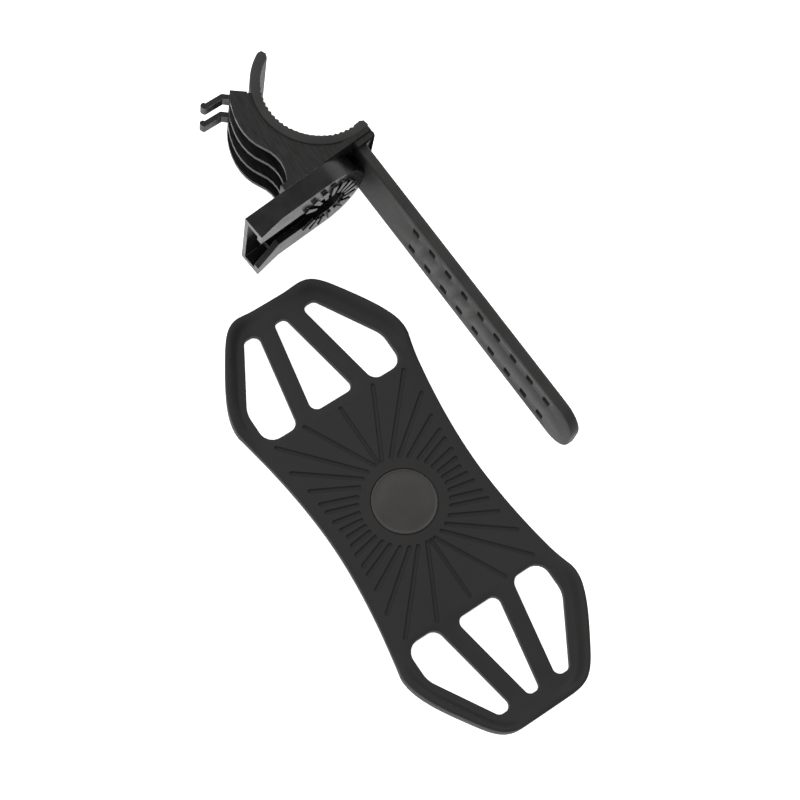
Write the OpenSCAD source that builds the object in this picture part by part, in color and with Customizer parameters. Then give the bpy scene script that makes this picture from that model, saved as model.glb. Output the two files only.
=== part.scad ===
// Handlebar phone mount: a strap-on bracket with a slide-in dock, lying on its side,
// and beside it the stretch band that holds the phone, standing on its round foot.
// Millimetres, +Z up. X runs across the phone band and Y runs along it. The origin is
// the middle of the layout, on the surface that both pieces lie on.

/* [Bracket] */
// Width of the bracket, measured along the handlebar
bracket_w = 29; // [28:0.5:32]
// Radius of the handlebar that the rubber pad fits
bar_r = 17.3; // [17:0.1:17.5]
// Thickness of the rubber pad
pad_t = 3.35; // [3:0.05:3.45]
// Thickness of the side plates and of the fins between them
plate_t = 1.5; // [1.2:0.1:2]
// Width of a strap hook
hook_w = 3.9; // [3:0.1:4.1]

/* [Dock] */
// Length of the dock from its mouth to its round end
dock_len = 41.5; // [40:0.1:41.7]
// Height of the dock over its toothed lips
dock_h = 6.6; // [6.4:0.1:7]
// Height of the dock at its flared mouth
mouth_h = 7.9; // [7.5:0.1:9]
// Width of the slot between the lips
slot_w = 11.8; // [11.4:0.1:12.5]
// Thickness of the dock's side walls
dock_wall = 2.2; // [1.8:0.1:2.4]
// Thickness of the dock's floor
floor_t = 1.5; // [1.2:0.1:1.6]
// Thickness of the dock's lips
lip_t = 2.0; // [1.8:0.1:2.1]
// Height of the click teeth
tooth_h = 0.9; // [0.5:0.1:1]
// Click positions in a full turn
teeth = 18; // [12:1:24]

/* [Strap] */
// Width of the rubber strap
strap_w = 22.8; // [21:0.1:23.4]
// Thickness of the rubber strap
strap_t = 3.3; // [3:0.1:3.3]
// Reach of the strap below the bracket's foot flange
strap_reach = 111; // [108:1:125]
// Distance from one pair of holes to the next
hole_pitch = 8.05; // [7.8:0.01:8.4]
// Pairs of holes
hole_pairs = 9; // [6:1:9]
// Side of a square hole
hole_side = 4.2; // [3.8:0.1:4.6]
// Distance between the two rows of holes, which is also that between the hooks
row_gap = 12.2; // [11:0.1:12.6]

/* [Phone band] */
// Half length of the band
band_half = 73.6; // [72:0.1:78]
// Half width of the band at its waist
waist_half = 25; // [23:0.1:25.6]
// Thickness of the band
band_t = 3.2; // [2.6:0.1:3.4]
// Height of the rolled rim at the band's four corners
rim_h = 3.7; // [2:0.1:5]
// Diameter of the disc in the middle of the band
disc_d = 20; // [18:0.1:22]

/* [Foot] */
// Radius of the round foot that runs in the dock
foot_r = 11.6; // [11:0.1:11.8]
// Radius of the foot's neck
neck_r = 5.5; // [5:0.1:5.6]
// Radial clearance between the foot and the spigot that it turns on
run_gap = 0.05; // [0.02:0.01:0.1]

/* [Hidden] */
$fn = 72;

// The bracket lies a few degrees out of line with the band
bracket_turn = 185.4;
bracket_place = [-7.63, 61.23, 0];
band_place = [-11.73, -32.2, 0];

// Side view of the bracket: X towards the dock's mouth, Y from the bar to the dock
bar_x = -45.4;
bar_y = -21.9;
seat_r = bar_r + pad_t + 0.05;
seat_from = -27.7;
seat_to = 98;
plate_r = seat_r + 1.1;
core_t = 2.7;
core_inset = 1.1;
tail_inset = 0.7;
back_x = -48.2;
tail_h = 2;
flange_t = 2;
pad_from = -69;
pad_to = 100;
pad_inset = 0.8;
heel = [-15, 0];
crown = [-22.2, -35.5];
crown_in = [bar_x + plate_r * cos(seat_from), bar_y + plate_r * sin(seat_from)];
fin_z = [0, bracket_w * 0.295, bracket_w * 0.63, bracket_w - plate_t];

// Strap: every bend is a hinge line on the strap's inner face
strap_x = -43.75;
strap_lean = -3.1;
strap_z = bracket_w / 2;
fold_1 = tail_h + 0.5;
fold_step = 2.4;
first_hole = 32.3;
inner = -strap_t / 2;
bends = [fold_1, fold_1 + fold_step, fold_1 + 2 * fold_step, first_hole, first_hole + hole_pitch,
    first_hole + 2 * hole_pitch, first_hole + 3 * hole_pitch, first_hole + 4 * hole_pitch];
tip_r = 8;
strap_head_low = -1.12;
strap_head_high = -0.07;
strap_head_grip_top = 0.4;
head_grip = 1.4;
slot_gap = 0.1;

// Hooks: two straight runs, out of the saddle's crown and then towards the mouth
hook_t = 1.8;
hook_root = [-24.0, -34.9];
hook_bend = [-21.2, -37.6];
hook_end = [-14.9, -38.0];

// Dock: the round end, the tooth ring and the slot share one centre
end_r = bracket_w / 2;
ring_x = end_r - dock_len;
ring_z = bracket_w / 2;
tooth_in = slot_w / 2 + 0.5;
tooth_out = 11.4;
tooth_pitch = 360 / teeth;
tooth_span = tooth_pitch * 0.5;
flare_len = 9;
flare_w = 4.6;
bump_x = -8;
bump_r = 0.8;

// Stack of the phone band from the table up
foot_t = 2.3;
neck_top = 5.2;
collar_low = 5.4;
collar_t = 1.4;
collar_r = 13;
band_low = collar_low + collar_t;
band_top = band_low + band_t;
spigot_r = 2.5;
spigot_low = 3.3;
boss_r = 4;
boss_gap = 0.05;
pocket_r = 4.3;
pocket_top = 3.25;
screw_r = 1.5;
head_r = 3.3;
head_low = 0.4;
head_top = 2.1;
wave_top = 2.7;
washer_top = 3.2;
screw_top = band_top - 1.6;
disc_seat = band_top - 0.9;
disc_rise = 0.6;
flex_y = 33;

function bez(a, b, c, d, n) = [for (i = [0:n]) let (t = i / n, u = 1 - t)
    u * u * u * a + 3 * u * u * t * b + 3 * u * t * t * c + t * t * t * d];
function unit(v) = v / norm(v);
// Points of a closed outline whose corners are rounded, one radius to a corner
function rounded(p, r, n) = [for (i = [0:len(p) - 1])
    let (q = p[i], a = unit(p[(i + len(p) - 1) % len(p)] - q), b = unit(p[(i + 1) % len(p)] - q))
    let (half = acos(a * b) / 2, c = q + unit(a + b) * r[i] / sin(half))
    let (from = q + a * r[i] / tan(half) - c, to = q + b * r[i] / tan(half) - c)
    for (k = [0:n]) c + r[i] * unit(from * (1 - k / n) + to * (k / n))];
function flip(p) = [for (i = [len(p) - 1:-1:0]) [-p[i][0], p[i][1]]];

module on_bracket() {
    translate(bracket_place) rotate(bracket_turn) children();
}

module on_strap() {
    on_bracket() translate([strap_x, 0, strap_z]) rotate(strap_lean) children();
}

module on_band() {
    translate(band_place) children();
}

// Raises a shape drawn in X and Z from y = low to y = high
module rise(low, high) {
    translate([0, high, 0]) rotate([90, 0, 0]) linear_extrude(high - low) children();
}

// Ring of height top - low
module ring(outer, bore, low, top) {
    translate([0, 0, low]) difference() {
        cylinder(r = outer, h = top - low);
        translate([0, 0, -1]) cylinder(r = bore, h = top - low + 2);
    }
}

// Side plate: a straight foot, an S-shaped back and a crown, round the bar seat
module plate_outline() {
    difference() {
        polygon(concat(
            bez(heel, [-19.2, -2.2], [-21.6, -9], [-18.6, -14.6], 8),
            bez([-18.6, -14.6], [-15.4, -20.6], [-17, -29], crown, 8),
            [crown_in, [bar_x, bar_y], [back_x, bar_y], [back_x, 0]]));
        translate([bar_x, bar_y]) circle(r = plate_r);
    }
}

// Wall behind the pad, stopping inside the foot flange so that the dock clears it
module seat_wall() {
    sunk = 0.5;
    difference() {
        translate([bar_x, bar_y, core_inset]) rotate(seat_from)
            rotate_extrude(angle = seat_to - seat_from)
            translate([seat_r, 0]) square([core_t, bracket_w - 2 * core_inset]);
        translate([dock_tail() - 3 * sunk, -sunk, -1]) cube([seat_r, 2 * core_t, bracket_w + 2]);
    }
}

module crown_web() {
    linear_extrude(bracket_w) polygon([crown, crown_in, crown_in + [1.4, 2.4], crown + [0.9, 2.6]]);
}

module foot_flange() {
    translate([back_x, -flange_t, 0]) cube([heel[0] - back_x, flange_t, bracket_w]);
    translate([back_x, -flange_t, tail_inset])
        cube([dock_tail() - back_x, flange_t + tail_h, bracket_w - 2 * tail_inset]);
}

function dock_tail() = -dock_len - 0.1;

// Slot for the strap's T-shaped head; the dock's floor closes it on the mouth's side
module strap_slot() {
    half = strap_t / 2 + slot_gap;
    grip = half + head_grip;
    deep = strap_w / 2 + slot_gap;
    translate([-half, -6, -deep]) cube([2 * half, 12, 2 * deep]);
    translate([-grip, -3, -deep]) cube([2 * grip, 3 + strap_head_high + slot_gap, 2 * deep]);
    translate([0, -3, -deep]) cube([grip, 3 + strap_head_grip_top, 2 * deep]);
}

module saddle() {
    color("#232323") on_bracket() difference() {
        union() {
            for (z = fin_z) translate([0, 0, z]) linear_extrude(plate_t) plate_outline();
            seat_wall();
            crown_web();
            foot_flange();
        }
        translate([strap_x, 0, strap_z]) rotate(strap_lean) strap_slot();
        hook_shape(0.05);
        translate([bar_x, bar_y, -1]) cylinder(r = seat_r, h = bracket_w + 2);
    }
}

// Stadium with its round end at the dock's closed end and its open end past the mouth
module dock_plan(half, over) {
    translate([ring_x, ring_z]) circle(r = half);
    translate([ring_x, ring_z - half]) square([-ring_x + over, 2 * half]);
}

module mouth_flare() {
    polygon([[-flare_len, ring_z - slot_w / 2], [1, ring_z - slot_w / 2 - flare_w],
        [1, ring_z + slot_w / 2 + flare_w], [-flare_len, ring_z + slot_w / 2]]);
}

module dock_side(low, high, mouth) {
    linear_extrude(bracket_w) polygon([[-dock_len - 1, low], [1, low], [1, mouth + 0.1],
        [-flare_len, high], [-dock_len - 1, high]]);
}

module click_tooth(low, high, turn, span) {
    rotate(turn - span / 2) translate([0, 0, low]) rotate_extrude(angle = span)
        translate([tooth_in, 0]) square([tooth_out - tooth_in, high - low]);
}

module dock() {
    inner_half = bracket_w / 2 - dock_wall;
    color("#161616") on_bracket() {
        difference() {
            intersection() {
                rise(0, mouth_h + 1) dock_plan(end_r, 0);
                dock_side(0, dock_h, mouth_h);
            }
            intersection() {
                rise(floor_t, mouth_h) dock_plan(inner_half, 1);
                dock_side(floor_t, dock_h - lip_t, mouth_h - lip_t + 0.2);
            }
            rise(floor_t, mouth_h + 1) dock_plan(slot_w / 2, 1);
            rise(floor_t, mouth_h + 1) mouth_flare();
        }
        for (i = [2:teeth - 2]) translate([ring_x, dock_h - 0.1, ring_z]) rotate([-90, 0, 0])
            click_tooth(0, tooth_h + 0.1, i * tooth_pitch, tooth_span);
        for (side = [-1, 1]) translate([bump_x, floor_t - 0.1, ring_z + side * inner_half])
            rotate([-90, 0, 0]) cylinder(r = bump_r, h = dock_h - lip_t - floor_t + 0.3);
    }
}

module rubber_pad() {
    color("#343434") on_bracket() translate([bar_x, bar_y, pad_inset]) rotate(pad_from)
        rotate_extrude(angle = pad_to - pad_from)
        translate([bar_r, 0]) square([pad_t, bracket_w - 2 * pad_inset]);
}

module run(a, b, t) {
    d = b - a;
    translate(a) rotate(atan2(d[1], d[0])) translate([0, -t / 2]) square([norm(d), t]);
    translate(b) circle(d = t);
}

module hook_shape(grow) {
    width = row_gap + hook_w;
    for (side = [-1, 1]) translate([0, 0, strap_z + side * row_gap / 2 - hook_w / 2 - grow])
        linear_extrude(hook_w + 2 * grow) {
            run(hook_root, hook_bend, hook_t + 2 * grow);
            run(hook_bend, hook_end, hook_t + 2 * grow);
            translate(hook_end + [0.1, -0.5]) circle(r = 1.0 + grow);
        }
    translate([0, 0, strap_z - width / 2 - grow]) linear_extrude(width + 2 * grow)
        translate(hook_root + [0.25, 1.0]) circle(r = 0.95 + grow);
}

module hook_insert() {
    color("#1b1b1b") on_bracket() hook_shape(0);
}

// Holes that cross a stretch of strap
module strap_holes() {
    for (i = [0:hole_pairs - 1], side = [-1, 1])
        translate([-strap_t, first_hole + i * hole_pitch - hole_side / 2,
            side * row_gap / 2 - hole_side / 2])
        cube([2 * strap_t, hole_side, hole_side]);
}

module strap_run(from, to) {
    color("#303030") on_strap() difference() {
        translate([inner, from, -strap_w / 2]) cube([strap_t, to - from, strap_w]);
        strap_holes();
    }
}

module strap_root() {
    color("#303030") on_strap() {
        translate([inner, strap_head_low, -strap_w / 2]) cube([strap_t, fold_1 - strap_head_low, strap_w]);
        translate([inner - head_grip, strap_head_low, -strap_w / 2])
            cube([strap_t + 2 * head_grip, strap_head_high - strap_head_low, strap_w]);
    }
}

module strap_link_1() {
    strap_run(bends[0], bends[1]);
}

module strap_link_2() {
    strap_run(bends[1], bends[2]);
}

module strap_link_3() {
    strap_run(bends[2], bends[3]);
}

module strap_link_4() {
    strap_run(bends[3], bends[4]);
}

module strap_link_5() {
    strap_run(bends[4], bends[5]);
}

module strap_link_6() {
    strap_run(bends[5], bends[6]);
}

module strap_link_7() {
    strap_run(bends[6], bends[7]);
}

module strap_tip() {
    straight = strap_reach - tip_r;
    color("#303030") on_strap() difference() {
        union() {
            translate([inner, bends[7], -strap_w / 2])
                cube([strap_t, straight - bends[7], strap_w]);
            translate([inner, straight, tip_r - strap_w / 2])
                cube([strap_t, tip_r, strap_w - 2 * tip_r]);
            for (side = [-1, 1]) translate([inner, straight, side * (strap_w / 2 - tip_r)])
                rotate([0, 90, 0]) cylinder(r = tip_r, h = strap_t);
        }
        strap_holes();
    }
}

// Right-hand edge of the band, from the waist to the middle of the end
function edge(in) = concat(
    bez([waist_half - in, 0], [waist_half - in, 13.8], [27.3 - in, 30.1], [30.3 - in, 42.5], 6),
    bez([30.3 - in, 42.5], [31.1 - in, 48.8], [26 - in, 56.8 - in * 0.6], [21.6 - in * 0.8, 63.6 - in * 0.6], 6),
    bez([21.6 - in * 0.8, 63.6 - in * 0.6], [17.5 - in * 0.8, 69.9 - in * 0.6], [15.2 - in * 0.5, band_half - in],
        [9, band_half - in], 6));

module half_band(in) {
    polygon(concat(edge(in), flip(edge(in))));
}

module end_openings() {
    side_slot = rounded([[13.5, 36], [7.7, 67], [12.5, 67], [24.25, 47.3], [24.25, 36]],
        [3.3, 2.1, 2.1, 8.5, 4.3], 5);
    for (m = [0, 1]) mirror([m, 0]) polygon(side_slot);
    polygon(rounded([[-7.6, 37.2], [-2, 66.9], [2, 66.9], [7.6, 37.2]], [2.4, 1.8, 1.8, 2.4], 5));
}

module rim_plan() {
    difference() {
        half_band(0);
        half_band(3.4);
        translate([-50, -1]) square([100, 44]);
        translate([-10, 43]) square([20, 50]);
    }
}

module band_end() {
    color("#303234") {
        translate([0, 0, band_low]) linear_extrude(band_t) difference() {
            half_band(0);
            end_openings();
            translate([-50, -1]) square([100, flex_y + 1]);
        }
        translate([0, 0, band_top - 0.1]) linear_extrude(rim_h + 0.1) rim_plan();
    }
}

module band_end_upper() {
    on_band() band_end();
}

module band_end_lower() {
    on_band() rotate(180) band_end();
}

module band_middle() {
    color("#303234") on_band() difference() {
        translate([0, 0, band_low]) linear_extrude(band_t) intersection() {
            union() for (turn = [0, 180]) rotate(turn) half_band(0);
            square([100, 2 * flex_y], center = true);
        }
        translate([0, 0, band_low - 1]) cylinder(r = boss_r + boss_gap, h = band_t + 2);
        translate([0, 0, disc_seat]) cylinder(d = disc_d, h = band_t);
    }
}

module front_disc() {
    dome_r = 90;
    color("#2a2422") on_band() intersection() {
        translate([0, 0, disc_seat]) cylinder(d = disc_d - 0.1, h = 3);
        translate([0, 0, band_top + disc_rise - dome_r]) sphere(r = dome_r, $fn = 180);
    }
}

module click_collar() {
    color("#1c1c1c") on_band() {
        difference() {
            union() {
                translate([0, 0, collar_low]) cylinder(r = collar_r, h = collar_t);
                translate([0, 0, spigot_low]) cylinder(r = spigot_r, h = 3);
                translate([0, 0, collar_low]) cylinder(r = boss_r, h = disc_seat - collar_low);
            }
            translate([0, 0, -1]) cylinder(r = screw_r, h = screw_top + 1);
        }
        for (i = [1:teeth]) click_tooth(collar_low - tooth_h, collar_low + 0.1,
            (i + 0.5) * tooth_pitch, tooth_span);
    }
}

module slide_foot() {
    color("#141414") on_band() difference() {
        union() {
            cylinder(r = foot_r, h = foot_t);
            cylinder(r = neck_r, h = neck_top);
        }
        translate([0, 0, -1]) cylinder(r = pocket_r, h = pocket_top + 1);
        cylinder(r = spigot_r + run_gap, h = neck_top + 1);
    }
}

module foot_screw() {
    color("silver") on_band() difference() {
        union() {
            translate([0, 0, head_low]) cylinder(r = head_r, h = head_top - head_low);
            translate([0, 0, head_low]) cylinder(r = screw_r, h = screw_top - head_low - 0.4);
        }
        translate([0, 0, head_low - 0.5]) for (turn = [0, 90]) rotate(turn)
            cube([3.6, 0.8, 2.2], center = true);
    }
}

module wave_washer() {
    color("silver") on_band() ring(head_r, screw_r + 0.1, head_top, wave_top);
}

module thrust_washer() {
    color("silver") on_band() ring(boss_r, screw_r + 0.1, wave_top, washer_top);
}

saddle();
dock();
rubber_pad();
hook_insert();
strap_root();
strap_link_1();
strap_link_2();
strap_link_3();
strap_link_4();
strap_link_5();
strap_link_6();
strap_link_7();
strap_tip();
band_middle();
band_end_upper();
band_end_lower();
front_disc();
click_collar();
slide_foot();
foot_screw();
wave_washer();
thrust_washer();
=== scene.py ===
"""Strap-on handlebar mount with its stretch phone band, built as separate moulded pieces.

Every piece has its own operator, listed in the Phone mount panel of the 3D view's sidebar.
Lengths in the code are millimetres until a finished mesh is scaled to metres.
"""

import math

import bmesh
import bpy
from mathutils import Matrix, Vector
from mathutils.geometry import interpolate_bezier


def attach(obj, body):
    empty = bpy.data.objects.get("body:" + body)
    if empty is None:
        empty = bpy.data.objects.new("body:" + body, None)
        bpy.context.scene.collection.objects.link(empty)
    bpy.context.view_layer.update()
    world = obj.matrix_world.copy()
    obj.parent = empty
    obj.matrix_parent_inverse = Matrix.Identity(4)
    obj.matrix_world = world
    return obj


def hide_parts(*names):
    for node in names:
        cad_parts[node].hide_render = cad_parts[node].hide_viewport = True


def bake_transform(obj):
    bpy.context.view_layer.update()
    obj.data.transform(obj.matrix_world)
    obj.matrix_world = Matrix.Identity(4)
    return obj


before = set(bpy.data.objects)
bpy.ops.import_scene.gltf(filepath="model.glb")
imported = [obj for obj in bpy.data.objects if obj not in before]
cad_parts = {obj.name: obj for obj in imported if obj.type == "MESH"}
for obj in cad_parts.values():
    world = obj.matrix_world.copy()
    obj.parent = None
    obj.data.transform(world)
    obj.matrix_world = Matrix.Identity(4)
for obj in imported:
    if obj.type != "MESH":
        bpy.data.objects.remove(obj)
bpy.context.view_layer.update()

bl_info = {
    "name": "Handlebar phone mount",
    "version": (1, 0, 0),
    "blender": (4, 5, 0),
    "location": "3D View > Sidebar > Phone mount",
    "description": "Strap-on bracket with a slide-in dock, and the stretch band that holds a phone",
    "category": "Object",
}

MM = 0.001

# Where the two loose pieces lie: the bracket on its side, the band on its foot
BRACKET_AXES = Matrix.Translation((-7.63, 61.23, 0)) @ Matrix.Rotation(math.radians(185.4), 4, "Z")
BAND_CENTRE = Vector((-11.73, -32.2, 0))
STRAP_MIDDLE = Vector((-43.75, 0, 14.5))
STRAP_LEAN = math.radians(-3.1)
BAR_CENTRE = Vector((-45.4, -21.9, 0))


# ---------------------------------------------------------------- settings


class BandSizes(bpy.types.PropertyGroup):
    """Sizes of the stretch band"""

    thickness: bpy.props.FloatProperty(
        name="Thickness", description="Thickness of the silicone sheet, in millimetres",
        default=3.2, min=2.6, max=3.4)
    rim_lift: bpy.props.FloatProperty(
        name="Rim lift", description="How far the rolled corners stand up, in millimetres",
        default=3.2, min=1.0, max=3.7)
    groove_width: bpy.props.FloatProperty(
        name="Groove width", description="Width of one moulded ray, in millimetres",
        default=1.15, min=0.8, max=1.6)
    groove_depth: bpy.props.FloatProperty(
        name="Groove depth", description="Depth of one moulded ray, in millimetres",
        default=0.55, min=0.2, max=0.8)
    disc_radius: bpy.props.FloatProperty(
        name="Disc radius", description="Radius of the middle disc's seat, in millimetres",
        default=10.0, min=9.0, max=11.0)


class StrapSizes(bpy.types.PropertyGroup):
    """Sizes of the rubber strap"""

    width: bpy.props.FloatProperty(
        name="Width", description="Width of the strap, in millimetres", default=22.8, min=20, max=23.4)
    thickness: bpy.props.FloatProperty(
        name="Thickness", description="Thickness of the strap, in millimetres",
        default=3.3, min=2.8, max=3.3)
    reach: bpy.props.FloatProperty(
        name="Reach", description="Length of the strap from the foot flange, in millimetres",
        default=109.5, min=100, max=111)
    hole_side: bpy.props.FloatProperty(
        name="Hole side", description="Side of one square hole, in millimetres",
        default=2.9, min=2.6, max=4.2)


class FinishColours(bpy.types.PropertyGroup):
    """Base colours of the finishes"""

    band: bpy.props.FloatVectorProperty(
        name="Band", description="Matt silicone of the band", subtype="COLOR", size=3,
        default=(0.0155, 0.0155, 0.0152), min=0, max=1)
    strap: bpy.props.FloatVectorProperty(
        name="Strap", description="Rubber of the strap and the pad", subtype="COLOR", size=3,
        default=(0.0150, 0.0146, 0.0140), min=0, max=1)
    bracket: bpy.props.FloatVectorProperty(
        name="Bracket", description="Satin moulded nylon of the bracket", subtype="COLOR", size=3,
        default=(0.0085, 0.0085, 0.0082), min=0, max=1)
    disc: bpy.props.FloatVectorProperty(
        name="Disc", description="Plastic of the middle disc", subtype="COLOR", size=3,
        default=(0.0215, 0.0195, 0.0175), min=0, max=1)


class StudioSettings(bpy.types.PropertyGroup):
    """Camera and light"""

    heading: bpy.props.FloatProperty(
        name="Heading", description="Direction the camera looks in, off the band's long axis",
        subtype="ANGLE", unit="ROTATION", default=math.radians(52.31))
    elevation: bpy.props.FloatProperty(
        name="Elevation", description="Height of the camera above the horizon", subtype="ANGLE",
        unit="ROTATION", default=math.radians(70.88))
    roll: bpy.props.FloatProperty(
        name="Roll", description="Turn of the camera about its own line of sight", subtype="ANGLE",
        unit="ROTATION", default=math.radians(19.02))
    lens: bpy.props.FloatProperty(
        name="Lens", description="Focal length of the camera, in millimetres", default=94.5)
    light: bpy.props.FloatProperty(
        name="Light", description="Brightness of the surrounding light", default=1.0, min=0, max=4)


class MountSettings(bpy.types.PropertyGroup):
    """All settings of the mount"""

    band: bpy.props.PointerProperty(type=BandSizes, name="Band", description="Sizes of the band")
    strap: bpy.props.PointerProperty(type=StrapSizes, name="Strap", description="Sizes of the strap")
    colours: bpy.props.PointerProperty(
        type=FinishColours, name="Colours", description="Base colours of the finishes")
    studio: bpy.props.PointerProperty(
        type=StudioSettings, name="Studio", description="Camera and light")


# ---------------------------------------------------------------- finishes


def new_finish(name):
    """A material with its shader, its output and coordinates in millimetres."""
    finish = bpy.data.materials.new(name)
    finish.use_nodes = True
    tree = finish.node_tree
    shader = tree.nodes["Principled BSDF"]
    place = tree.nodes.new("ShaderNodeTexCoord")
    scale = tree.nodes.new("ShaderNodeMapping")
    scale.inputs["Scale"].default_value = (1000, 1000, 1000)
    tree.links.new(place.outputs["Object"], scale.inputs["Vector"])
    return finish, tree, shader, scale.outputs["Vector"]


def stretched(tree, place, scale, turn=(0, 0, 0)):
    """Coordinates drawn out along one axis."""
    mapping = tree.nodes.new("ShaderNodeMapping")
    mapping.inputs["Rotation"].default_value = turn
    mapping.inputs["Scale"].default_value = scale
    tree.links.new(place, mapping.inputs["Vector"])
    return mapping.outputs["Vector"]


def noise(tree, place, scale, detail=3.0, roughness=0.55):
    """Noise of a given size."""
    node = tree.nodes.new("ShaderNodeTexNoise")
    node.inputs["Scale"].default_value = scale
    node.inputs["Detail"].default_value = detail
    node.inputs["Roughness"].default_value = roughness
    tree.links.new(place, node.inputs["Vector"])
    return node.outputs["Fac"]


def between(tree, value, low, high, start=0.3, end=0.7):
    """Value drawn from low to high while the input goes from start to end."""
    node = tree.nodes.new("ShaderNodeMapRange")
    node.inputs["From Min"].default_value = start
    node.inputs["From Max"].default_value = end
    node.inputs["To Min"].default_value = low
    node.inputs["To Max"].default_value = high
    tree.links.new(value, node.inputs["Value"])
    return node.outputs["Result"]


def tinted(tree, factor, dark, light, start=0.3, end=0.7):
    """Colour that goes from dark to light with a factor."""
    ramp = tree.nodes.new("ShaderNodeValToRGB")
    ramp.color_ramp.elements[0].position = start
    ramp.color_ramp.elements[1].position = end
    ramp.color_ramp.elements[0].color = (*dark, 1)
    ramp.color_ramp.elements[1].color = (*light, 1)
    tree.links.new(factor, ramp.inputs["Fac"])
    return ramp.outputs["Color"]


def roughened(tree, shader, height, distance, strength=1.0):
    """Fine relief on the surface."""
    bump = tree.nodes.new("ShaderNodeBump")
    bump.inputs["Strength"].default_value = strength
    bump.inputs["Distance"].default_value = distance
    tree.links.new(height, bump.inputs["Height"])
    tree.links.new(bump.outputs["Normal"], shader.inputs["Normal"])


def shade(colour, factor):
    """A colour made lighter or darker."""
    return tuple(min(c * factor, 1.0) for c in colour)


def silicone_finish(colours):
    """Matt silicone with a faint cloudiness and dust-fine grain."""
    finish, tree, shader, place = new_finish("band_silicone_finish")
    clouds = noise(tree, place, 0.055, 2.5)
    grain = noise(tree, place, 5.5, 4.0, 0.65)
    base = tuple(colours.band)
    colour = tinted(tree, clouds, shade(base, 0.86), shade(base, 1.18))
    tree.links.new(colour, shader.inputs["Base Color"])
    tree.links.new(between(tree, clouds, 0.56, 0.70), shader.inputs["Roughness"])
    shader.inputs["Specular IOR Level"].default_value = 0.24
    roughened(tree, shader, grain, 0.00003, 0.5)
    return finish


def rubber_finish(colours, name="strap_rubber_finish", factor=1.0):
    """Moulded rubber, a little chalky, with small specks."""
    finish, tree, shader, place = new_finish(name)
    base = shade(tuple(colours.strap), factor)
    clouds = noise(tree, place, 0.09, 3.0)
    specks = noise(tree, place, 3.2, 5.0, 0.7)
    mixed = tree.nodes.new("ShaderNodeMath")
    mixed.operation = "MULTIPLY_ADD"
    mixed.inputs[1].default_value = 0.35
    tree.links.new(specks, mixed.inputs[0])
    tree.links.new(between(tree, clouds, 0.1, 0.55), mixed.inputs[2])
    tree.links.new(
        tinted(tree, mixed.outputs[0], shade(base, 0.8), shade(base, 1.35)), shader.inputs["Base Color"])
    tree.links.new(between(tree, specks, 0.48, 0.66), shader.inputs["Roughness"])
    shader.inputs["Specular IOR Level"].default_value = 0.28
    roughened(tree, shader, specks, 0.00004, 0.5)
    return finish


def nylon_finish(colours):
    """Satin glass-filled nylon with long pale flow streaks."""
    finish, tree, shader, place = new_finish("saddle_nylon_finish")
    base = tuple(colours.bracket)
    streaks = noise(tree, stretched(tree, place, (1.9, 0.16, 1.0), (0, 0, math.radians(-24))), 1.2, 4.0, 0.6)
    grain = noise(tree, place, 4.5, 3.0, 0.6)
    colour = tinted(tree, streaks, shade(base, 0.75), shade(base, 2.1), 0.36, 0.68)
    tree.links.new(colour, shader.inputs["Base Color"])
    tree.links.new(between(tree, streaks, 0.30, 0.48), shader.inputs["Roughness"])
    shader.inputs["Specular IOR Level"].default_value = 0.22
    roughened(tree, shader, grain, 0.00004, 0.35)
    return finish


def dock_finish(colours):
    """Glossier nylon of the dock, with soft mould marks."""
    finish, tree, shader, place = new_finish("dock_nylon_finish")
    base = shade(tuple(colours.bracket), 0.62)
    marks = noise(tree, place, 0.16, 3.0)
    grain = noise(tree, place, 3.0, 3.0)
    colour = tinted(tree, marks, shade(base, 0.7), shade(base, 1.5))
    tree.links.new(colour, shader.inputs["Base Color"])
    tree.links.new(between(tree, marks, 0.20, 0.34), shader.inputs["Roughness"])
    shader.inputs["Specular IOR Level"].default_value = 0.3
    roughened(tree, shader, grain, 0.00003, 0.3)
    return finish


def painted_highlight_finish():
    """Painted highlight on the rounded edges of the hard mouldings: a light colour in broken lines, standing
    in for the light they catch.
    """
    finish, tree, shader, place = new_finish("painted_edge_highlight_finish")
    highlight_breaks = noise(tree, place, 0.35, 4.0, 0.6)
    # Painted highlight: from dark grey to a light grey, far above the mouldings' own colour
    colour = tinted(tree, highlight_breaks, (0.05, 0.05, 0.049), (0.28, 0.28, 0.275), 0.38, 0.62)
    tree.links.new(colour, shader.inputs["Base Color"])
    tree.links.new(between(tree, highlight_breaks, 0.42, 0.28), shader.inputs["Roughness"])
    roughened(tree, shader, noise(tree, place, 4.0), 0.00003, 0.3)
    return finish


def disc_finish(colours):
    """Warm dark plastic of the middle disc, finely spark-eroded."""
    finish, tree, shader, place = new_finish("disc_plastic_finish")
    base = tuple(colours.disc)
    clouds = noise(tree, place, 0.12, 3.0)
    grain = noise(tree, place, 7.0, 4.0, 0.7)
    tree.links.new(tinted(tree, clouds, shade(base, 0.85), shade(base, 1.2)), shader.inputs["Base Color"])
    tree.links.new(between(tree, grain, 0.36, 0.5), shader.inputs["Roughness"])
    roughened(tree, shader, grain, 0.00004, 0.45)
    return finish


def foot_finish(colours):
    """Hard dark nylon of the hub, turned smooth by wear."""
    finish, tree, shader, place = new_finish("foot_nylon_finish")
    base = shade(tuple(colours.bracket), 0.9)
    rings = noise(tree, stretched(tree, place, (0.3, 0.3, 3.0)), 1.0, 3.0)
    colour = tinted(tree, rings, shade(base, 0.8), shade(base, 1.6))
    tree.links.new(colour, shader.inputs["Base Color"])
    tree.links.new(between(tree, rings, 0.28, 0.42), shader.inputs["Roughness"])
    roughened(tree, shader, noise(tree, place, 4.0), 0.00003, 0.3)
    return finish


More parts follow.
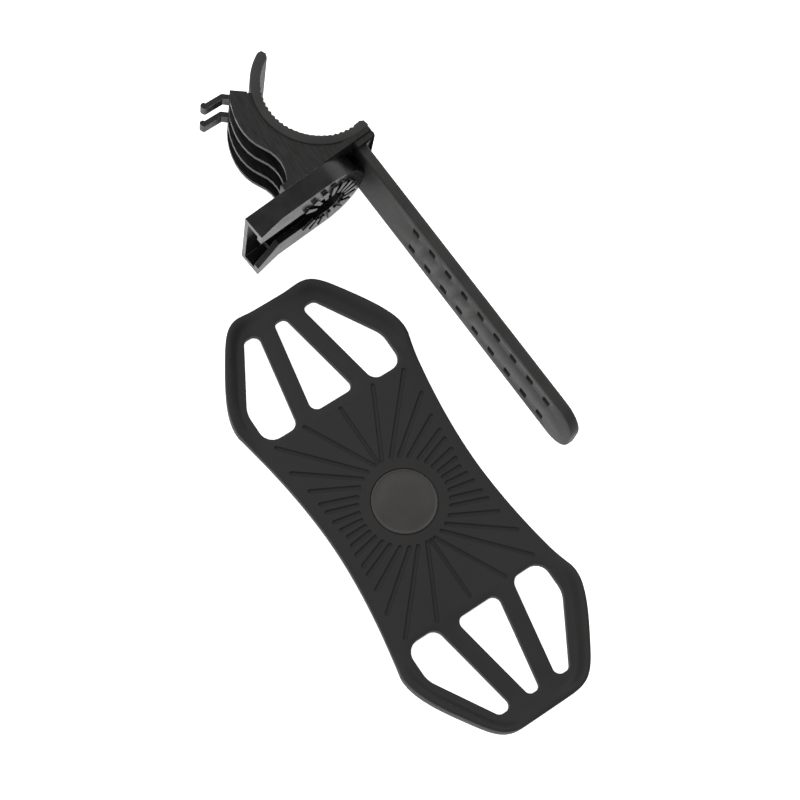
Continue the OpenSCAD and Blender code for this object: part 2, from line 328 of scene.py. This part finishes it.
def steel_finish():
    """Zinc-plated steel of the screw and the washers."""
    finish, tree, shader, place = new_finish("plated_steel_finish")
    brushed = noise(tree, stretched(tree, place, (3.0, 3.0, 0.4)), 2.0, 4.0, 0.6)
    tree.links.new(
        tinted(tree, brushed, (0.36, 0.36, 0.37), (0.62, 0.62, 0.63)), shader.inputs["Base Color"])
    tree.links.new(between(tree, brushed, 0.22, 0.40), shader.inputs["Roughness"])
    shader.inputs["Metallic"].default_value = 1.0
    roughened(tree, shader, brushed, 0.00002, 0.3)
    return finish


# ---------------------------------------------------------------- shaping

# Angles between two faces: merged into one, shaded as one curve, and rounded where they meet
FLAT_WITHIN = math.radians(0.6)
CURVED_WITHIN = math.radians(15)
ROUNDED_FROM = math.radians(35)


def curve_points(corners, count):
    """Points of a cubic curve, its last one left out."""
    points = [Vector((x, y, 0)) for x, y in corners]
    return interpolate_bezier(points[0], points[1], points[2], points[3], count + 1)[:-1]


def band_quarter(inset):
    """Edge of the band from its waist to the middle of its end."""
    def side(x, y, wide=1.0, tall=0.0):
        return (x - inset * wide, y - inset * tall)
    return (
        curve_points([side(25, 0), side(25, 13.8), side(27.3, 30.1), side(30.3, 42.5)], 26)
        + curve_points([side(30.3, 42.5), side(31.1, 48.8), side(26, 56.8, 1, 0.6),
                        side(21.6, 63.6, 0.8, 0.6)], 16)
        + curve_points([side(21.6, 63.6, 0.8, 0.6), side(17.5, 69.9, 0.8, 0.6), side(15.2, BAND_HALF, 0.5, 1),
                        side(9, BAND_HALF, 0, 1)], 14)
        + [Vector((x, BAND_HALF - inset, 0)) for x in (9.0, 6.0, 3.0)]
    )


def whole_outline(quarter):
    """A quarter outline turned into the whole one by mirroring it across both axes."""
    up = quarter[1:]
    right = [quarter[0]] + up
    top = [Vector((0, quarter[-1].y, 0))]
    left = [Vector((-p.x, p.y, 0)) for p in reversed(up)]
    half = right + top + left
    return half + [Vector((-p.x, -p.y, 0)) for p in half]


def rounded_corners(corners, radii, grow=0.0, steps=6):
    """Closed outline whose corners are rounded, and which grow moves outwards."""
    outline = []
    count = len(corners)
    for i, radius in enumerate(radii):
        corner = Vector((*corners[i], 0))
        before = (Vector((*corners[i - 1], 0)) - corner).normalized()
        after = (Vector((*corners[(i + 1) % count], 0)) - corner).normalized()
        half = math.acos(max(-1, min(1, before.dot(after)))) / 2
        centre = corner + (before + after).normalized() * radius / math.sin(half)
        start = corner + before * radius / math.tan(half) - centre
        end = corner + after * radius / math.tan(half) - centre
        for k in range(steps + 1):
            outline.append(centre + (radius + grow) * start.lerp(end, k / steps).normalized())
    return outline


def circle(radius, steps=96):
    """Outline of a circle about the origin."""
    turns = [math.tau * k / steps for k in range(steps)]
    return [Vector((radius * math.cos(a), radius * math.sin(a), 0)) for a in turns]


def pill(start, end, radius, steps=6):
    """Outline of a groove with round ends."""
    along = (end - start).normalized()
    across = Vector((-along.y, along.x, 0))
    outline = []
    for centre, turn in ((end, 0), (start, math.pi)):
        for k in range(steps + 1):
            angle = turn + math.pi * (k / steps - 0.5)
            outline.append(centre + radius * (math.cos(angle) * along + math.sin(angle) * across))
    return outline


def ring_of_edges(bm, points, height):
    """Closed loop of edges; height is one value or one for each point."""
    tall = height if isinstance(height, list) else [height] * len(points)
    verts = [bm.verts.new((p.x, p.y, z)) for p, z in zip(points, tall)]
    return [bm.edges.new((a, b)) for a, b in zip(verts, verts[1:] + verts[:1])]


def wall_through(bm, loops):
    """Skin stretched over a row of loops."""
    for lower, upper in zip(loops, loops[1:]):
        bmesh.ops.bridge_loops(bm, edges=lower + upper)


def flat_fill(bm, loops):
    """Flat face bounded by the first loop, with the others as holes in it."""
    edges = [edge for loop in loops for edge in loop]
    bmesh.ops.triangle_fill(bm, use_beauty=True, edges=edges, normal=(0, 0, 1))


def closed_up(bm):
    """Merged corners and outward faces."""
    bmesh.ops.remove_doubles(bm, verts=bm.verts, dist=1e-4)
    bmesh.ops.recalc_face_normals(bm, faces=bm.faces)
    open_edges = sum(1 for edge in bm.edges if not edge.is_manifold)
    if open_edges:
        raise RuntimeError(f"the shell has {open_edges} open edges")


def length_cut(bm, low, high, axis):
    """Copy of a shell between two planes across one axis, its cut faces closed."""
    part = bm.copy()
    for limit, direction in ((low, -1), (high, 1)):
        if limit is None:
            continue
        plane = Vector((0, 0, 0))
        plane[axis] = limit
        normal = Vector((0, 0, 0))
        normal[axis] = direction
        cut = bmesh.ops.bisect_plane(
            part, geom=part.verts[:] + part.edges[:] + part.faces[:], dist=1e-5,
            plane_co=plane, plane_no=normal, clear_outer=True)
        edges = [item for item in cut["geom_cut"] if isinstance(item, bmesh.types.BMEdge)]
        bmesh.ops.triangle_fill(part, use_beauty=True, edges=edges, normal=normal)
    closed_up(part)
    return part


def make_piece(bm, name, finish, placing=None, sharp=38):
    """Object from a shell in millimetres, smooth but for its sharp edges."""
    if placing is not None:
        bmesh.ops.transform(bm, matrix=placing, verts=bm.verts)
    bmesh.ops.scale(bm, vec=(MM, MM, MM), verts=bm.verts)
    mesh = bpy.data.meshes.new(name)
    bm.to_mesh(mesh)
    bm.free()
    mesh.shade_smooth()
    mesh.set_sharp_from_angle(angle=math.radians(sharp))
    mesh.materials.append(finish)
    piece = bpy.data.objects.new(name, mesh)
    bpy.context.scene.collection.objects.link(piece)
    return piece


def rounded_node(node, finish, body, width, edges=None):
    """A CAD node's shape with merged corners and rounded edges, in place of the node."""
    bm = bmesh.new()
    bm.from_mesh(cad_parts[node].data)
    bmesh.ops.remove_doubles(bm, verts=bm.verts, dist=2e-6)
    bmesh.ops.dissolve_limit(bm, angle_limit=FLAT_WITHIN, verts=bm.verts, edges=bm.edges)
    bmesh.ops.scale(bm, vec=(1 / MM,) * 3, verts=bm.verts)
    curved = [any(edge.calc_face_angle(0) < CURVED_WITHIN for edge in face.edges) for face in bm.faces]
    piece = make_piece(bm, f"{node}_moulding", finish)
    piece.data.polygons.foreach_set("use_smooth", curved)
    bevel = piece.modifiers.new("Rounded edges", "BEVEL")
    bevel.width = width * MM
    bevel.segments = 2
    bevel.limit_method = "ANGLE"
    bevel.angle_limit = ROUNDED_FROM
    bevel.miter_outer = "MITER_ARC"
    # Where given, the rounded edges get a second finish that carries a painted highlight
    if edges:
        piece.data.materials.append(edges)
        bevel.material = 1
    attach(piece, body)
    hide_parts(node)
    return piece


def ramp(value, start, end):
    """Smooth step from 0 to 1 between start and end."""
    t = max(0.0, min(1.0, (value - start) / (end - start)))
    return t * t * (3 - 2 * t)


def finish_named(name, build):
    """The finish with this name, made once."""
    return bpy.data.materials.get(name) or build()


# ---------------------------------------------------------------- phone band

BAND_LOW = 6.8
BAND_HALF = 73.6
# Half length of the stretch that stays flat between the two ends' bends
STIFF_HALF = 28.0
DISC_SEAT_DEPTH = 0.9
BOSS_HOLE_RADIUS = 4.05
SIDE_SLOT = ([(13.5, 36), (7.7, 67), (12.5, 67), (24.25, 47.3), (24.25, 36)], [3.3, 2.1, 2.1, 8.5, 4.3])
MIDDLE_WEDGE = ([(-7.6, 37.2), (-2, 66.9), (2, 66.9), (7.6, 37.2)], [2.4, 1.8, 1.8, 2.4])
RAY_RING = 13.9
# Start angle of each ray off the band's long axis, and where it ends: across, along
RAYS = [(0, (0, 33.8)), (5.5, (12.2, 34.7)), (17.5, (22.8, 33.8)), (28, (23.3, 25.0)), (39.5, (21.8, 17.5)),
        (52, (21.4, 12.5)), (62, (21.1, 9.5)), (72, (20.9, 5.8)), (81.5, (20.5, 2.8)), (90, (19.9, 0))]


def edge_share(point):
    """How much of an inset applies here: less at the waist, where no rim is rolled."""
    return 0.55 + 0.45 * ramp(abs(point.y), 31, 42)


def rim_share(point):
    """How far the rim is rolled up here: only at the four corners."""
    return ramp(abs(point.y), 34, 49) * (0.12 + 0.88 * ramp(abs(point.x), 5, 15))


def band_ring(bm, inset, height, lift):
    """One loop round the whole band, lifted where its rim is rolled."""
    outer, inner = whole_outline(band_quarter(0)), whole_outline(band_quarter(max(inset, 0.01)))
    points = [a.lerp(b, edge_share(a)) for a, b in zip(outer, inner)]
    return ring_of_edges(bm, points, [height + lift * rim_share(a) for a in outer])


def band_openings():
    """Outlines of the six openings, as a function of how much they are opened up."""
    def opening(shape, flip_x, flip_y):
        def outline(grow):
            points = rounded_corners(*shape, grow=grow)
            return [Vector((p.x * flip_x, p.y * flip_y, 0)) for p in points]
        return outline
    shapes = [(SIDE_SLOT, x, y) for x in (1, -1) for y in (1, -1)]
    shapes += [(MIDDLE_WEDGE, 1, y) for y in (1, -1)]
    return [opening(*shape) for shape in shapes]


def ray_lines():
    """Start and end of every moulded ray."""
    lines = []
    for angle, (across, along) in RAYS:
        start = RAY_RING * Vector((math.sin(math.radians(angle)), math.cos(math.radians(angle)), 0))
        for flip_x in ((1,) if angle == 0 else (1, -1)):
            for flip_y in ((1,) if angle == 90 else (1, -1)):
                flip = Vector((flip_x, flip_y, 1))
                lines.append((start * flip, Vector((across, along, 0)) * flip))
    return lines


def band_shell(sizes):
    """The whole silicone moulding as one closed shell about its own centre."""
    bm = bmesh.new()
    low, top, lift = BAND_LOW, BAND_LOW + sizes.thickness, sizes.rim_lift
    # Each ring round the edge: how far in, how high, how far lifted at the corners
    outside = [band_ring(bm, *ring) for ring in (
        (1.5, low, 0), (0.45, low + 0.12, 0.12 * lift), (0.06, low + 0.6, 0.3 * lift),
        (0, low + 1.2, 0.5 * lift), (0, top - 0.75, 0.95 * lift), (0.10, top - 0.32, lift),
        (0.38, top - 0.08, lift), (0.8, top, lift), (1.5, top, 0.9 * lift), (2.2, top, 0.66 * lift),
        (2.9, top, 0.36 * lift), (3.6, top, 0.12 * lift), (4.3, top, 0))]
    wall_through(bm, outside)
    bottoms, tops = [outside[0]], [outside[-1]]
    for outline in band_openings():
        walls = [ring_of_edges(bm, outline(grow), height) for grow, height in (
            (0.45, low), (0.12, low + 0.14), (0, low + 0.5),
            (0, top - 0.55), (0.12, top - 0.16), (0.45, top))]
        wall_through(bm, walls)
        bottoms.append(walls[0])
        tops.append(walls[-1])
    width, depth = sizes.groove_width / 2, sizes.groove_depth
    for start, end in ray_lines():
        groove = [ring_of_edges(bm, pill(start, end, radius), height) for radius, height in (
            (width + 0.14, top), (width, top - 0.12),
            (width - 0.1, top - depth + 0.1), (width - 0.3, top - depth))]
        wall_through(bm, groove)
        flat_fill(bm, groove[-1:])
        tops.append(groove[0])
    seat, radius = top - DISC_SEAT_DEPTH, sizes.disc_radius
    hub = [ring_of_edges(bm, circle(r), z) for r, z in (
        (radius + 0.3, top), (radius + 0.05, top - 0.2), (radius, seat), (BOSS_HOLE_RADIUS, seat),
        (BOSS_HOLE_RADIUS, low))]
    wall_through(bm, hub)
    flat_fill(bm, tops + hub[:1])
    flat_fill(bm, bottoms + hub[-1:])
    closed_up(bm)
    return bm


class MOUNT_OT_phone_band(bpy.types.Operator):
    """Make the stretch band: a stiff middle and two looped ends, cut apart from one shell"""

    bl_idname = "mount.phone_band"
    bl_label = "Phone band"

    def execute(self, context):
        settings = context.scene.mount
        finish = finish_named("band_silicone_finish", lambda: silicone_finish(settings.colours))
        shell = band_shell(settings.band)
        placing = Matrix.Translation(BAND_CENTRE)
        middle = make_piece(length_cut(shell, -STIFF_HALF, STIFF_HALF, 1), "band_waist", finish, placing)
        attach(middle, "phone_band")
        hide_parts("band_middle")
        for side, body, node in ((1, "upper_loops", "band_end_upper"), (-1, "lower_loops", "band_end_lower")):
            limits = (STIFF_HALF, None) if side > 0 else (None, -STIFF_HALF)
            loops = make_piece(length_cut(shell, *limits, 1), f"{body}_sheet", finish, placing)
            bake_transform(loops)
            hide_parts(node)
        shell.free()
        return {"FINISHED"}


class MOUNT_OT_front_disc(bpy.types.Operator):
    """Make the plain disc in the middle of the band, with its bright turned-down rim"""

    bl_idname = "mount.front_disc"
    bl_label = "Front disc"

    def execute(self, context):
        settings = context.scene.mount
        finish = finish_named("disc_plastic_finish", lambda: disc_finish(settings.colours))
        radius = settings.band.disc_radius - 0.05
        seat = BAND_LOW + settings.band.thickness - DISC_SEAT_DEPTH
        bm = bmesh.new()
        profile = [(0, seat), (radius - 0.2, seat), (radius, seat + 0.2), (radius, seat + 0.72),
                   (radius - 0.1, seat + 0.88), (radius - 0.28, seat + 0.95), (radius - 0.5, seat + 0.94),
                   (radius - 0.72, seat + 0.84), (radius - 1.0, seat + 0.83), (radius - 2.4, seat + 0.98),
                   (radius - 5, seat + 1.2), (radius - 8, seat + 1.33), (0, seat + 1.36)]
        verts = [bm.verts.new((x, 0, z)) for x, z in profile]
        line = [bm.edges.new(pair) for pair in zip(verts, verts[1:])]
        bmesh.ops.spin(bm, geom=verts + line, cent=(0, 0, 0), axis=(0, 0, 1), angle=math.tau,
                       steps=120, use_merge=True)
        closed_up(bm)
        disc = make_piece(bm, "disc_cap", finish, Matrix.Translation(BAND_CENTRE), sharp=50)
        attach(disc, "phone_band")
        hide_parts("front_disc")
        return {"FINISHED"}


class MOUNT_OT_hub(bpy.types.Operator):
    """Make the hub under the band: click collar, sliding foot, screw and washers"""

    bl_idname = "mount.hub"
    bl_label = "Hub and foot"

    def execute(self, context):
        colours = context.scene.mount.colours
        nylon = finish_named("foot_nylon_finish", lambda: foot_finish(colours))
        steel = finish_named("plated_steel_finish", steel_finish)
        rounded_node("click_collar", nylon, "phone_band", 0.15)
        rounded_node("slide_foot", nylon, "foot", 0.3)
        for node, width in (("foot_screw", 0.15), ("wave_washer", 0.08), ("thrust_washer", 0.08)):
            rounded_node(node, steel, "phone_band", width)
        return {"FINISHED"}


# ---------------------------------------------------------------- strap

FIRST_HOLE = 32.3
HOLE_PITCH = 8.05
FOLD_STEP = 2.4
FOLDS = 3
WRAPS = 5
BENDS = [2.5 + i * FOLD_STEP for i in range(FOLDS)] + [FIRST_HOLE + i * HOLE_PITCH for i in range(WRAPS)]
# Where the strap is parted for its bends, half-way between one hinge line and the next
PARTINGS = [(a + b) / 2 for a, b in zip(BENDS, BENDS[1:])]
HOLE_PAIRS = 9
ROW_GAP = 12.2
# The cross-bar of the strap's T-shaped head: its length along the strap, its depth, its middle
HEAD_LENGTH = 1.05
HEAD_DEPTH = 6.1
HEAD_MIDDLE = -0.6


def strap_outline(sizes, inset):
    """Outline of the strap, lying flat: along x, with its rounded tip at the far end."""
    half, reach = sizes.width / 2, sizes.reach
    corners = [(0, -half), (reach, -half), (reach, half), (0, half)]
    return rounded_corners(corners, [0.9, 8, 8, 0.9], grow=-inset, steps=9)


def strap_shell(sizes):
    """The whole strap with its holes as one closed shell, lying flat."""
    bm = bmesh.new()
    half = sizes.thickness / 2
    outside = [ring_of_edges(bm, strap_outline(sizes, inset), height) for inset, height in (
        (0.85, -half), (0.4, 0.12 - half), (0.1, 0.42 - half), (0, 0.85 - half),
        (0, half - 0.85), (0.1, half - 0.42), (0.4, half - 0.12), (0.85, half))]
    wall_through(bm, outside)
    bottoms, tops = [outside[0]], [outside[-1]]
    side = sizes.hole_side / 2
    for i in range(HOLE_PAIRS):
        for row in (-1, 1):
            x, y = FIRST_HOLE + i * HOLE_PITCH, row * ROW_GAP / 2
            corners = [(x - side, y - side), (x + side, y - side), (x + side, y + side), (x - side, y + side)]
            hole = [
                ring_of_edges(bm, rounded_corners(corners, [0.45] * 4, grow, 4), height)
                for grow, height in ((0.16, -half), (0.05, 0.06 - half), (0, 0.2 - half),
                                     (0, half - 0.2), (0.05, half - 0.06), (0.16, half))]
            wall_through(bm, hole)
            bottoms.append(hole[0])
            tops.append(hole[-1])
    flat_fill(bm, tops)
    flat_fill(bm, bottoms)
    closed_up(bm)
    return bm


class MOUNT_OT_strap(bpy.types.Operator):
    """Make the rubber strap, parted between its hinge lines into eight pieces"""

    bl_idname = "mount.strap"
    bl_label = "Strap"

    def execute(self, context):
        settings = context.scene.mount
        finish = finish_named("strap_rubber_finish", lambda: rubber_finish(settings.colours))
        # Flat strap: x along, y across, z through. On the bracket: along is Y, across is Z, through is X
        stand_up = Matrix(((0, 0, 1, 0), (1, 0, 0, 0), (0, 1, 0, 0), (0, 0, 0, 1)))
        placing = (BRACKET_AXES @ Matrix.Translation(STRAP_MIDDLE)
                   @ Matrix.Rotation(STRAP_LEAN, 4, "Z") @ stand_up)
        shell = strap_shell(settings.strap)

        limits = [None] + PARTINGS + [None]
        nodes = [("strap_root",), ("strap_link_1",), ("strap_link_2",), ("strap_link_3",), ("strap_link_4",),
                 ("strap_link_5",), ("strap_link_6",), ("strap_link_7", "strap_tip")]
        for i in range(8):
            part = length_cut(shell, limits[i], limits[i + 1], 0)
            if i == 0:
                head = bmesh.ops.create_cube(part, size=1)["verts"]
                bmesh.ops.scale(part, vec=(HEAD_LENGTH, settings.strap.width, HEAD_DEPTH), verts=head)
                bmesh.ops.translate(part, vec=(HEAD_MIDDLE, 0, 0), verts=head)
            piece = make_piece(part, f"strap_stretch_{i + 1}", finish, placing)
            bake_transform(piece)
            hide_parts(*nodes[i])
        shell.free()
        return {"FINISHED"}


# ---------------------------------------------------------------- bracket


PAD_INNER, PAD_OUTER = 17.3, 20.65
PAD_LOW, PAD_HIGH = 0.8, 28.2
PAD_CORNER = 0.55
# Where the pad starts and ends round the bar, and the spacing of its ribs, in degrees
PAD_FROM, PAD_TO = -69.0, 100.0
RIB_PITCH = 5.5


def rib_hollow(angle):
    """Depth of the hollows between the ribs: deep in two stretches, faint elsewhere, none at the ends."""
    deep = ramp(angle, -34, -26) * (1 - ramp(angle, 18, 30)) + ramp(angle, 58, 64)
    wave = 0.5 - 0.5 * math.cos(math.tau * (angle - PAD_FROM) / RIB_PITCH)
    return (0.1 + 0.3 * deep) * wave * ramp(angle, -62, -57) * (1 - ramp(angle, 88, 93))


class MOUNT_OT_pad(bpy.types.Operator):
    """Make the rubber pad: a curved strip with grip ribs on its inner face"""

    bl_idname = "mount.pad"
    bl_label = "Rubber pad"

    def execute(self, context):
        settings = context.scene.mount
        finish = finish_named(
            "pad_rubber_finish", lambda: rubber_finish(settings.colours, "pad_rubber_finish", 1.25))
        bm = bmesh.new()
        corners = [(PAD_INNER, PAD_LOW), (PAD_OUTER, PAD_LOW), (PAD_OUTER, PAD_HIGH), (PAD_INNER, PAD_HIGH)]
        section = rounded_corners(corners, [PAD_CORNER] * 4, 0, 4)
        verts = [bm.verts.new((p.x, 0, p.y)) for p in section]
        face = bm.faces.new(verts)
        first_turn = Matrix.Rotation(math.radians(PAD_FROM), 3, "Z")
        bmesh.ops.rotate(bm, cent=(0, 0, 0), matrix=first_turn, verts=verts)
        bmesh.ops.spin(bm, geom=[face], cent=(0, 0, 0), axis=(0, 0, 1),
                       angle=math.radians(PAD_TO - PAD_FROM), steps=240)
        for vert in bm.verts:
            radius, turn = vert.co.xy.length, math.atan2(vert.co.y, vert.co.x)
            angle = math.degrees(turn)
            # The inner face has ribs; towards both ends the strip thins from its two faces
            inside = max(0.0, 1 - (radius - PAD_INNER) / 1.2)
            thinned = 1 - ramp(angle, PAD_FROM, PAD_FROM + 3) * (1 - ramp(angle, PAD_TO - 3, PAD_TO))
            radius += inside * rib_hollow(angle) + thinned * (0.9 * inside - 0.5 * (1 - inside))
            vert.co.xy = (radius * math.cos(turn), radius * math.sin(turn))
        closed_up(bm)
        pad = make_piece(bm, "grip_pad", finish, BRACKET_AXES @ Matrix.Translation(BAR_CENTRE), sharp=45)
        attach(pad, "bracket")
        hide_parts("rubber_pad")
        return {"FINISHED"}


class MOUNT_OT_bracket(bpy.types.Operator):
    """Make the bracket's hard mouldings: the finned saddle, the dock and the strap hooks"""

    bl_idname = "mount.bracket"
    bl_label = "Saddle, dock and hooks"

    def execute(self, context):
        colours = context.scene.mount.colours
        satin = finish_named("saddle_nylon_finish", lambda: nylon_finish(colours))
        gloss = finish_named("dock_nylon_finish", lambda: dock_finish(colours))
        # Painted highlight for the rounded edges of the saddle, the dock and the hooks
        edges = finish_named("painted_edge_highlight_finish", painted_highlight_finish)
        rounded_node("saddle", satin, "bracket", 0.18, edges)
        rounded_node("dock", gloss, "bracket", 0.2, edges)
        rounded_node("hook_insert", satin, "bracket", 0.2, edges)
        return {"FINISHED"}


# ---------------------------------------------------------------- stage


CAMERA_TARGET = Vector((7.48, -3.52, 0))
CAMERA_DISTANCE = 636.0
# Each soft panel: where it hangs, in metres, its power in watts and its side in metres
PANELS = {
    "far_panel": ((-0.15, 0.75, 0.75), 4.5, 0.8),
    "left_panel": ((-0.8, -0.1, 0.6), 2.5, 0.7),
    "right_panel": ((0.7, 0.2, 0.5), 2.0, 0.6),
}


class MOUNT_OT_stage(bpy.types.Operator):
    """Make the softly glowing white floor, the light panels and the camera"""

    bl_idname = "mount.stage"
    bl_label = "Stage"

    def execute(self, context):
        studio = context.scene.mount.studio
        scene = context.scene
        bm = bmesh.new()
        bmesh.ops.create_grid(bm, x_segments=8, y_segments=8, size=3.0)
        mesh = bpy.data.meshes.new("floor")
        bm.to_mesh(mesh)
        bm.free()
        paper, tree, shader, place = new_finish("white_paper")
        fibres = noise(tree, place, 0.02)
        white = tinted(tree, fibres, (0.93, 0.93, 0.93), (0.96, 0.96, 0.96))
        tree.links.new(white, shader.inputs["Base Color"])
        shader.inputs["Roughness"].default_value = 0.9
        shader.inputs["Specular IOR Level"].default_value = 0.1
        shader.inputs["Emission Color"].default_value = (1, 1, 1, 1)
        shader.inputs["Emission Strength"].default_value = 0.8
        mesh.materials.append(paper)
        floor = bpy.data.objects.new("floor", mesh)
        scene.collection.objects.link(floor)

        world = bpy.data.worlds.new("studio_air")
        scene.world = world
        world.use_nodes = True
        world.node_tree.nodes["Background"].inputs["Color"].default_value = (1, 1, 1, 1)
        world.node_tree.nodes["Background"].inputs["Strength"].default_value = 0.62 * studio.light
        for name, (spot, power, size) in PANELS.items():
            lamp = bpy.data.lights.new(name, "AREA")
            lamp.shape = "SQUARE"
            lamp.size = size
            lamp.energy = power * studio.light
            panel = bpy.data.objects.new(name, lamp)
            panel.location = spot
            panel.rotation_euler = (-Vector(spot)).to_track_quat("-Z", "Y").to_euler()
            scene.collection.objects.link(panel)

        target = CAMERA_TARGET * MM
        away = CAMERA_DISTANCE * MM
        heading = Vector((math.sin(studio.heading), math.cos(studio.heading), 0))
        camera_data = bpy.data.cameras.new("camera")
        camera_data.lens = studio.lens
        camera_data.sensor_width = 36
        camera_data.clip_start = 0.01
        camera = bpy.data.objects.new("camera", camera_data)
        camera.location = (target - heading * away * math.cos(studio.elevation)
                           + Vector((0, 0, away * math.sin(studio.elevation))))
        level = heading.cross(Vector((0, 0, 1)))
        back = (camera.location - target).normalized()
        right = level * math.cos(studio.roll) + back.cross(level) * math.sin(studio.roll)
        camera.matrix_world = Matrix.Translation(camera.location) @ Matrix(
            (right, back.cross(right), back)).transposed().to_4x4()
        scene.collection.objects.link(camera)
        scene.camera = camera
        scene.view_settings.view_transform = "Standard"
        return {"FINISHED"}


# ---------------------------------------------------------------- panel

STEPS = ("mount.stage", "mount.phone_band", "mount.front_disc", "mount.hub", "mount.strap", "mount.pad",
         "mount.bracket")


class MOUNT_PT_pieces(bpy.types.Panel):
    """Buttons for every piece of the mount"""

    bl_idname = "MOUNT_PT_pieces"
    bl_label = "Phone mount"
    bl_space_type = "VIEW_3D"
    bl_region_type = "UI"
    bl_category = "Phone mount"

    def draw(self, context):
        settings = context.scene.mount
        column = self.layout.column(align=True)
        for step in STEPS:
            column.operator(step)
        for title, group in (("Band", settings.band), ("Strap", settings.strap),
                             ("Colours", settings.colours), ("Studio", settings.studio)):
            box = self.layout.box()
            box.label(text=title)
            for name in group.bl_rna.properties.keys():
                if name not in ("rna_type", "name"):
                    box.prop(group, name)


CLASSES = (BandSizes, StrapSizes, FinishColours, StudioSettings, MountSettings, MOUNT_OT_stage,
           MOUNT_OT_phone_band, MOUNT_OT_front_disc, MOUNT_OT_hub, MOUNT_OT_strap, MOUNT_OT_pad,
           MOUNT_OT_bracket, MOUNT_PT_pieces)


def register():
    """Add the classes and the scene's settings."""
    for item in CLASSES:
        bpy.utils.register_class(item)
    bpy.types.Scene.mount = bpy.props.PointerProperty(
        type=MountSettings, name="Phone mount", description="Settings of the phone mount")


def unregister():
    """Take the classes and the scene's settings away again."""
    del bpy.types.Scene.mount
    for item in reversed(CLASSES):
        bpy.utils.unregister_class(item)


def main():
    """Make every piece."""
    register()
    for step in STEPS:
        group, name = step.split(".")
        getattr(getattr(bpy.ops, group), name)()


if __name__ == "__main__":
    main()
